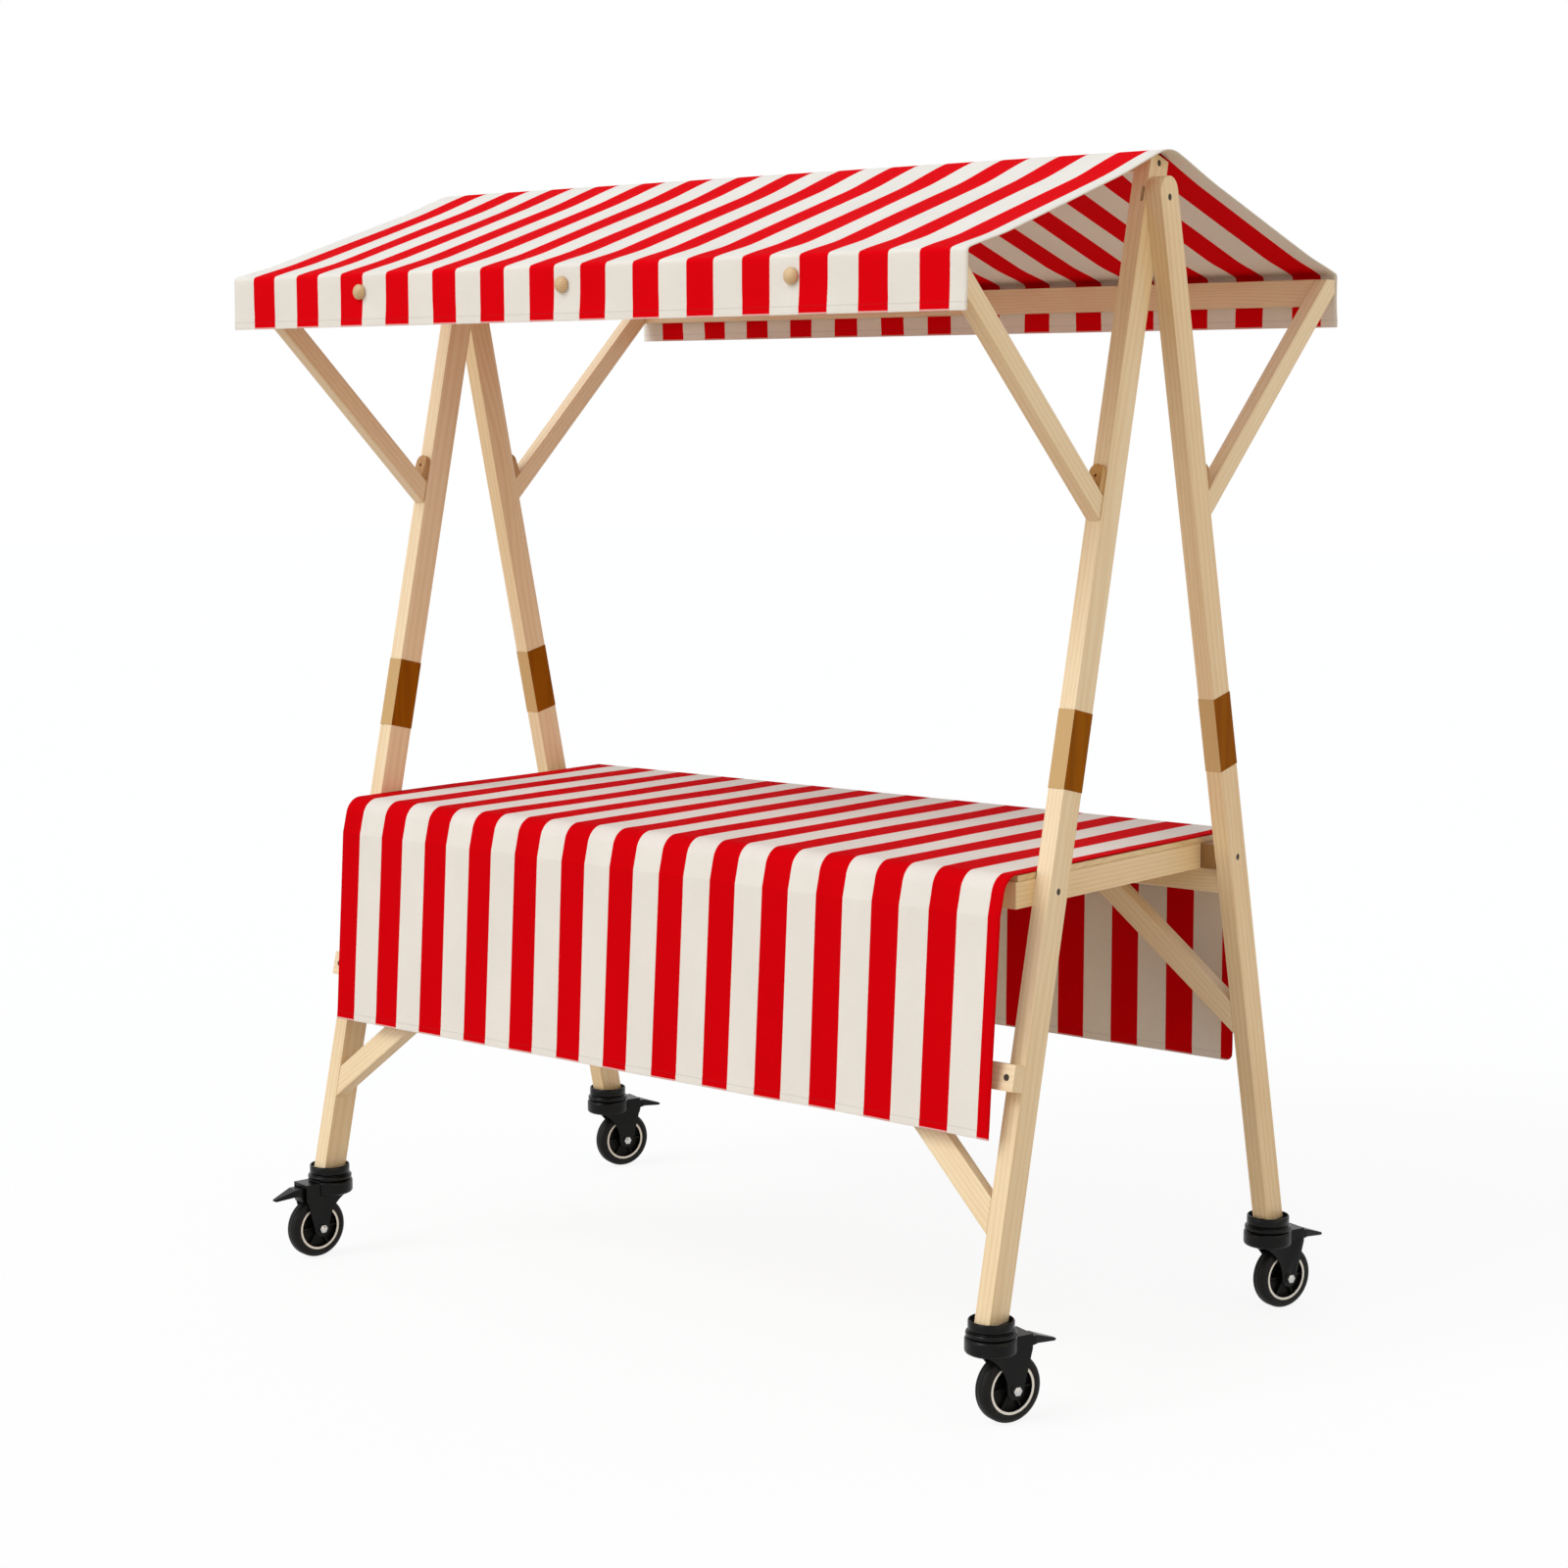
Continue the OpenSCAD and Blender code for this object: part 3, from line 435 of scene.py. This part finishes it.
# Painted shade: the spacers' dark wood stands in for the shadow they sit in.
dress("rail_spacers", woods["shaded_spacer_wood"], 0.002)
dress("canopy_pegs", woods["peg_wood"], 0.001)
dress("table_board", woods["board_wood"], 0.001)
dress("leg_bands", band, 0.0004)
dress("frame_bolts", dark_steel, 0.0004)
dress("castor_cups", enamel, 0.0008)
for corner in CORNERS:
    dress(f"{corner}_castor_fork", enamel, 0.0012)
    dress(f"{corner}_castor_pedal", enamel, 0.001)
    dress(f"{corner}_castor_axle", zinc, 0.0005)
    dress(f"{corner}_castor_tyre", rubber)
    dress(f"{corner}_castor_hub", moulding, 0.0008)
    dress(f"{corner}_castor_ring", ring_white, 0.0003)
print("dressed", len(nodes), "packed pieces")

# %% [markdown]
# ## Pressed fork skirts
# A castor's fork is pressed from sheet steel, and the press swells its skirt out a little past the bearing ring above
# it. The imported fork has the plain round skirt, so a thin swollen band is swept round it. It starts and ends inside
# the fork's cheeks, turns with the fork and keeps clear of the ring. The joints of the frame say where each castor
# stands and which way it trails.

# %% Fork skirts
SKIRT_TOP, SKIRT_LOW = 0.1602, 0.1308
SKIRT_INSIDE, SKIRT_ROOT, SKIRT_SWELL = 0.0415, 0.0423, 0.0046
SKIRT_OPEN, SKIRT_SQUARE = math.radians(31.5), 8
SKIRT_ROWS, SKIRT_COLUMNS = 21, 73
joint_at = {joint["name"]: Vector(joint["pos_m"]) for joint in frame["joints"]}


def fork_skirt(corner):
    """A swollen band round a fork's crown, open where the cheeks leave it for the axle."""
    swivel = joint_at[f"{corner}_swivel"]
    trail = joint_at[f"{corner}_roll"] - swivel
    heading = math.atan2(trail.y, trail.x)
    share = np.linspace(0, 1, SKIRT_ROWS)
    swell = SKIRT_SWELL * (1 - (2 * share - 1) ** SKIRT_SQUARE)
    radius = np.append(SKIRT_ROOT + swell, [SKIRT_INSIDE, SKIRT_INSIDE])
    height = np.append(SKIRT_TOP + share * (SKIRT_LOW - SKIRT_TOP), [SKIRT_LOW, SKIRT_TOP])
    turn = heading + np.linspace(SKIRT_OPEN, 2 * math.pi - SKIRT_OPEN, SKIRT_COLUMNS)
    points = [(swivel.x + r * math.cos(a), swivel.y + r * math.sin(a), z)
              for a in turn for r, z in zip(radius, height)]
    ring = len(radius)
    faces = [(c * ring + i, c * ring + (i + 1) % ring, (c + 1) * ring + (i + 1) % ring, (c + 1) * ring + i)
             for c in range(SKIRT_COLUMNS - 1) for i in range(ring)]
    faces += [tuple(range(ring))[::-1], tuple((SKIRT_COLUMNS - 1) * ring + i for i in range(ring))]
    mesh = bpy.data.meshes.new(f"{corner}_fork_skirt")
    mesh.from_pydata(points, [], faces)
    mesh.polygons.foreach_set("use_smooth", [len(face) == 4 for face in faces])
    mesh.materials.append(enamel)
    made = bpy.data.objects.new(f"{corner}_fork_skirt", mesh)
    scene.collection.objects.link(made)
    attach(made, f"{corner}_fork")
    return made


skirts = [fork_skirt(corner) for corner in CORNERS]
print("fork skirts", len(skirts), "faces each", len(skirts[0].data.polygons))

# %% [markdown]
# ## Striped canvas
# Canopy and table cloth are cut from one roll: canvas with red and white stripes woven in, so a stripe runs unbroken
# over every fold. The pattern is laid out in metres on the flat cloth, in the sheet's UV map, and it bends with the
# sheet. The group adds the plain weave, thread by thread, a little unevenness in the dye, and the stitched hems.

# %% Canvas group
THREAD = 0.0011
STITCH_ROW, STITCH_WIDE = 0.014, 0.0011
STITCH_STEP, STITCH_LONG = 0.0062, 0.68
HEM_EDGE, HEM_TINT, THREAD_TINT = 0.0030, (0.80, 0.74, 0.70, 1.0), (0.05, 0.04, 0.04, 1.0)
STRIPE_WANDER = 0.0012
WEAVE_DEPTH, WEAVE_STRENGTH = 0.00025, 0.5
CANVAS_WHITE = colour(235, 229, 222)

canvas, take, give = group(
    "striped_canvas",
    {"Flat": None, "Length": 1.0, "Period": 0.1253, "Red Start": 0.0, "Red Width": 0.061,
     "Red": (0.75, 0.003, 0.01, 1.0), "White": (0.84, 0.83, 0.82, 1.0)},
    ["Color", "Roughness", "Height"],
)
axes = put(canvas, "ShaderNodeSeparateXYZ", {0: take["Flat"]}).outputs
wander = noise(canvas, vector(canvas, "MULTIPLY", take["Flat"], (260.0, 900.0, 1.0)), 1.0, 1.0)
stray = calc(canvas, "MULTIPLY", calc(canvas, "SUBTRACT", wander, 0.5), STRIPE_WANDER)
ragged = calc(canvas, "ADD", axes["X"], stray)
place = calc(canvas, "FLOORED_MODULO", calc(canvas, "SUBTRACT", ragged, take["Red Start"]), take["Period"])
is_red = calc(canvas, "LESS_THAN", place, take["Red Width"])
warp_thread = calc(canvas, "SINE", calc(canvas, "MULTIPLY", axes["X"], 2 * math.pi / THREAD))
weft_thread = calc(canvas, "SINE", calc(canvas, "MULTIPLY", axes["Y"], 2 * math.pi / THREAD))
weave = calc(canvas, "ADD", calc(canvas, "MULTIPLY", calc(canvas, "MULTIPLY", warp_thread, weft_thread), 0.5), 0.5)
dye = noise(canvas, vector(canvas, "MULTIPLY", take["Flat"], (7.0, 3.0, 1.0)), 1.0, 4.0)
slub = noise(canvas, vector(canvas, "MULTIPLY", take["Flat"], (40.0, 1100.0, 1.0)), 1.0, 2.0)
hem_gap = calc(canvas, "MINIMUM", axes["Y"], calc(canvas, "SUBTRACT", take["Length"], axes["Y"]))
off_row = calc(canvas, "ABSOLUTE", calc(canvas, "SUBTRACT", hem_gap, STITCH_ROW))
along_row = calc(canvas, "FLOORED_MODULO", axes["X"], STITCH_STEP)
dash = calc(canvas, "LESS_THAN", along_row, STITCH_STEP * STITCH_LONG)
stitch = calc(canvas, "MULTIPLY", calc(canvas, "LESS_THAN", off_row, STITCH_WIDE), dash)
dyed = blend(canvas, is_red, take["White"], take["Red"])
tone = calc(canvas, "ADD", total(canvas, (dye, 0.16), (slub, 0.10), (weave, 0.05)), 0.845)
shaded = put(canvas, "ShaderNodeHueSaturation", {"Value": tone, "Color": dyed}).outputs[0]
thread_tint = blend(canvas, 0.35, dyed, THREAD_TINT)
thread_share = calc(canvas, "MULTIPLY", stitch, 0.5)
edge_line = calc(canvas, "LESS_THAN", hem_gap, HEM_EDGE)
hemmed = blend(canvas, calc(canvas, "MULTIPLY", edge_line, 0.55), shaded, HEM_TINT)
canvas.links.new(blend(canvas, thread_share, hemmed, thread_tint), give["Color"])
canvas.links.new(calc(canvas, "ADD", calc(canvas, "MULTIPLY", weave, 0.10), 0.68), give["Roughness"])
canvas.links.new(calc(canvas, "ADD", weave, calc(canvas, "MULTIPLY", stitch, 1.5)), give["Height"])
print("canvas group", len(canvas.nodes), "nodes")


# %% Canvas finishes
def striped(name, length, red_start, period, red):
    """Canvas of this flat length: a red stripe starts at red_start along the stall, and then one each period."""
    made, tree, shader = material(name)
    flat = put(tree, "ShaderNodeUVMap", uv_map="flat_cloth").outputs["UV"]
    values = {"Flat": flat, "Length": length, "Red Start": red_start, "Period": period, "Red": red,
              "White": CANVAS_WHITE}
    cover(tree, shader, canvas, values, WEAVE_DEPTH, WEAVE_STRENGTH)
    shader.inputs["Specular IOR Level"].default_value = 0.01
    return made


# %% [markdown]
# ## One sheet from one line
# Seen from the end, a cloth over a frame is a single line: up the hem, round an edge, along a slope and down again.
# So each sheet is made by drawing that line with rounded corners and sweeping it along the stall, and then pushing
# points in and out for sag, ripples and the pull of the pegs. Cloth simulation would give folds too, but not in the
# places where this cloth has them, and the sheet is nearly taut.


# %% Rounded line
def rounded_line(corners, radii, step, arc_step):
    """Points along straight runs joined by arcs of the given radii at the inner corners."""
    pts = [np.array(c, float) for c in corners]
    out = [pts[0]]

    def straight(to):
        start = out[-1]
        count = max(1, int(np.linalg.norm(to - start) / step))
        out.extend(start + (to - start) * k / count for k in range(1, count + 1))

    for before, here, after, r in zip(pts, pts[1:], pts[2:], radii):
        a, b = (before - here) / np.linalg.norm(before - here), (after - here) / np.linalg.norm(after - here)
        half = math.acos(np.clip(a @ b, -1, 1)) / 2
        reach = r / math.tan(half)
        centre = here + (a + b) / np.linalg.norm(a + b) * r / math.sin(half)
        straight(here + a * reach)
        first, last = here + a * reach - centre, here + b * reach - centre
        count = max(4, int((math.pi - 2 * half) * r / arc_step))
        turn = math.atan2(first[0] * last[1] - first[1] * last[0], first @ last)
        for k in range(1, count + 1):
            c, s = math.cos(turn * k / count), math.sin(turn * k / count)
            out.append(centre + np.array([first[0] * c - first[1] * s, first[0] * s + first[1] * c]))
    straight(pts[-1])
    return np.array(out)


# %% Sheet from a line
CLOTH = 0.0018
HEM_ROWS = (0.0006, 0.0015, 0.003, 0.0055)
HEM_DEEP, HEM_RAISED = 0.0185, 0.0006
TUCK_NARROW = 40


def swept_sheet(name, line, half, columns, push, corner_round=0.0):
    """Sweep a (y, z) line along the stall. push(x, s) moves points outwards. corner_round rounds the back corners.
    Returns the piece and its flat length."""
    first, last = line[1] - line[0], line[-2] - line[-1]
    close = np.array(HEM_ROWS)[:, None]
    head = line[0] + first / np.linalg.norm(first) * close
    tail = line[-1] + last / np.linalg.norm(last) * close
    line = np.vstack([line[:1], head, line[1:-1], tail[::-1], line[-1:]])
    steps = np.linalg.norm(np.diff(line, axis=0), axis=1)
    s = np.concatenate([[0], np.cumsum(steps)])
    ahead = np.gradient(line, s, axis=0)
    out = np.stack([-ahead[:, 1], ahead[:, 0]], 1)
    out /= np.linalg.norm(out, axis=1)[:, None]
    share = np.linspace(-1, 1, columns)
    gap = s[-1] - s
    arc = np.sqrt(np.maximum(0, corner_round**2 - (corner_round - gap) ** 2))
    tuck = np.where(gap < corner_round, corner_round - arc, 0)
    x = share[None, :] * (half - tuck[:, None] * np.abs(share[None, :]) ** TUCK_NARROW)
    flat_s = np.repeat(s[:, None], columns, 1)
    moved = push(x, flat_s)
    y = line[:, :1] + out[:, :1] * moved
    z = line[:, 1:] + out[:, 1:] * moved
    points = np.stack([x, y, z], -1).reshape(-1, 3)
    at = np.arange(len(s) * columns).reshape(len(s), columns)
    quads = np.stack([at[:-1, :-1], at[:-1, 1:], at[1:, 1:], at[1:, :-1]], -1).reshape(-1, 4)
    mesh = bpy.data.meshes.new(name)
    mesh.from_pydata(points.tolist(), [], quads.tolist())
    laid = mesh.uv_layers.new(name="flat_cloth")
    uv = np.stack([x, flat_s], -1).reshape(-1, 2)
    laid.data.foreach_set("uv", uv[quads.reshape(-1)].astype(np.float32).ravel())
    mesh.polygons.foreach_set("use_smooth", [True] * len(quads))
    made = bpy.data.objects.new(name, mesh)
    scene.collection.objects.link(made)
    thick = made.modifiers.new("cloth", "SOLIDIFY")
    thick.thickness, thick.offset = CLOTH, -1.0
    return made, float(s[-1])


def bell(distance, width):
    return np.exp(-((distance / width) ** 2))


def smooth(t):
    t = np.clip(t, 0, 1)
    return t * t * (3 - 2 * t)


# %% [markdown]
# ## The canopy
# The canopy is one piece of canvas over the ridge pole and both eave rails, with a short valance hanging at the front
# and back. It sags a little on each slope, it is pulled in where a peg pins it to its rail, and below the rail the
# valance hangs free and ripples slightly.

# %% Canopy sheet
roof_low, roof_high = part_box("canopy")
EAVE_Z, RIDGE_Z = 2.005, 2.204
EAVE_R, RIDGE_R = 0.009, 0.09
CANOPY_STEP, CANOPY_ARC_STEP, CANOPY_COLUMNS = 0.011, 0.0025, 241
CANOPY_RED, CANOPY_RED_START, CANOPY_PERIOD = colour(224, 4, 16), -0.8330, 0.1252
eave = roof_high.y
canopy_line = rounded_line(
    [(-eave, roof_low.z), (-eave, EAVE_Z), (0, RIDGE_Z), (eave, EAVE_Z), (eave, roof_low.z)],
    [EAVE_R, RIDGE_R, EAVE_R], CANOPY_STEP, CANOPY_ARC_STEP,
)
canopy_flat = float(np.linalg.norm(np.diff(canopy_line, axis=0), axis=1).sum())
VALANCE = EAVE_Z - roof_low.z
PEGS, PEG_DROP, PEG_REACH, PEG_PULL = (-0.528, 0.0, 0.528), 0.065, 0.03, 0.0008
SAG, WRINKLE, END_FLARE = 0.0055, 0.0007, 0.0025


def canopy_push(x, s):
    near = np.minimum(s, canopy_flat - s)
    back = s > canopy_flat / 2
    slope = smooth((near - VALANCE) / 0.12) * smooth((canopy_flat / 2 - near - 0.02) / 0.16)
    sag = -SAG * slope * (1 + 0.22 * np.sin(3.1 * x + 0.7 * back))
    wrinkle = WRINKLE * slope * np.sin(31 * x + 9 * near + 2 * back) * np.sin(5 * x - 3 * near)
    free = smooth((VALANCE - near - 0.045) / 0.05)
    ripple = free * (0.0016 * np.sin(11.3 * x + 1.2 + 2.1 * back) + 0.0010 * np.sin(23.7 * x + 0.4))
    loose_end = free * END_FLARE * smooth((np.abs(x) - 0.80) / 0.09)
    pinned = sum(bell(np.hypot(x - p, near - PEG_DROP), PEG_REACH) for p in PEGS) * -PEG_PULL
    hem = np.where(near < HEM_DEEP, HEM_RAISED, 0.0)
    return sag + wrinkle + ripple + loose_end + pinned + hem


canopy_cloth, canopy_length = swept_sheet("canopy_cloth", canopy_line, roof_high.x, CANOPY_COLUMNS, canopy_push)
canopy_canvas = striped("canopy_canvas", canopy_length, CANOPY_RED_START, CANOPY_PERIOD, CANOPY_RED)
canopy_cloth.data.materials.append(canopy_canvas)
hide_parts("canopy")
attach(canopy_cloth, "frame")
print("canopy flat length", round(canopy_length, 3))

# %% [markdown]
# ## The table cloth
# The table cloth lies flat on the board, falls over the rounded nosing and hangs to the knee at the front and back.
# Where it leaves the nosing it keeps a soft crease, and below that the panel is nearly flat. Its free hems ripple a
# little more than the canopy's do, and the back corners are cut round.

# %% Table cloth sheet
cover_low, cover_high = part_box("table_cloth")
top = cover_high.z
CREASE_Y, CREASE_Z, CREASE_R = -0.4060, 0.884, 0.006
NOSE_Y, NOSE_R, BACK_R = -0.3880, 0.040, 0.008
BACK_CORNER, BACK_CLEAR = 0.016, 0.004
HANG, COVER_FLARE = 0.40, 0.004
COVER_STEP, COVER_ARC_STEP, COVER_COLUMNS = 0.010, 0.003, 221
COVER_RED, COVER_RED_START, COVER_PERIOD = colour(212, 2, 12), -0.7090, 0.1257
back_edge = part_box("table_board")[1].y + BACK_CLEAR
cover_line = rounded_line(
    [(cover_low.y, cover_low.z), (CREASE_Y, CREASE_Z), (NOSE_Y, top), (back_edge, top), (cover_high.y, cover_low.z)],
    [CREASE_R, NOSE_R, BACK_R], COVER_STEP, COVER_ARC_STEP,
)
cover_flat = float(np.linalg.norm(np.diff(cover_line, axis=0), axis=1).sum())


def cover_push(x, s):
    back = s > cover_flat / 2
    near = np.minimum(s, cover_flat - s)
    fall = smooth((HANG - near) / HANG)
    ripple = fall * (0.0022 * np.sin(8.7 * x + 0.6 + 1.9 * back) + 0.0013 * np.sin(19.1 * x + 2.0 - back))
    ease = 0.0008 * smooth((near - 0.47) / 0.1) * np.sin(17 * x + 3) * np.sin(9 * s + 5 * x)
    loose_end = fall * COVER_FLARE * smooth((np.abs(x) - 0.70) / 0.12)
    hem = np.where(near < HEM_DEEP, HEM_RAISED, 0.0)
    return ripple + np.minimum(ease, 0.0004) + loose_end + hem


table_cover, cover_length = swept_sheet(
    "table_cover", cover_line, cover_high.x, COVER_COLUMNS, cover_push, BACK_CORNER,
)
table_canvas = striped("table_canvas", cover_length, COVER_RED_START, COVER_PERIOD, COVER_RED)
table_cover.data.materials.append(table_canvas)
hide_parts("table_cloth")
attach(table_cover, "frame")
print("table cloth flat length", round(cover_length, 3))
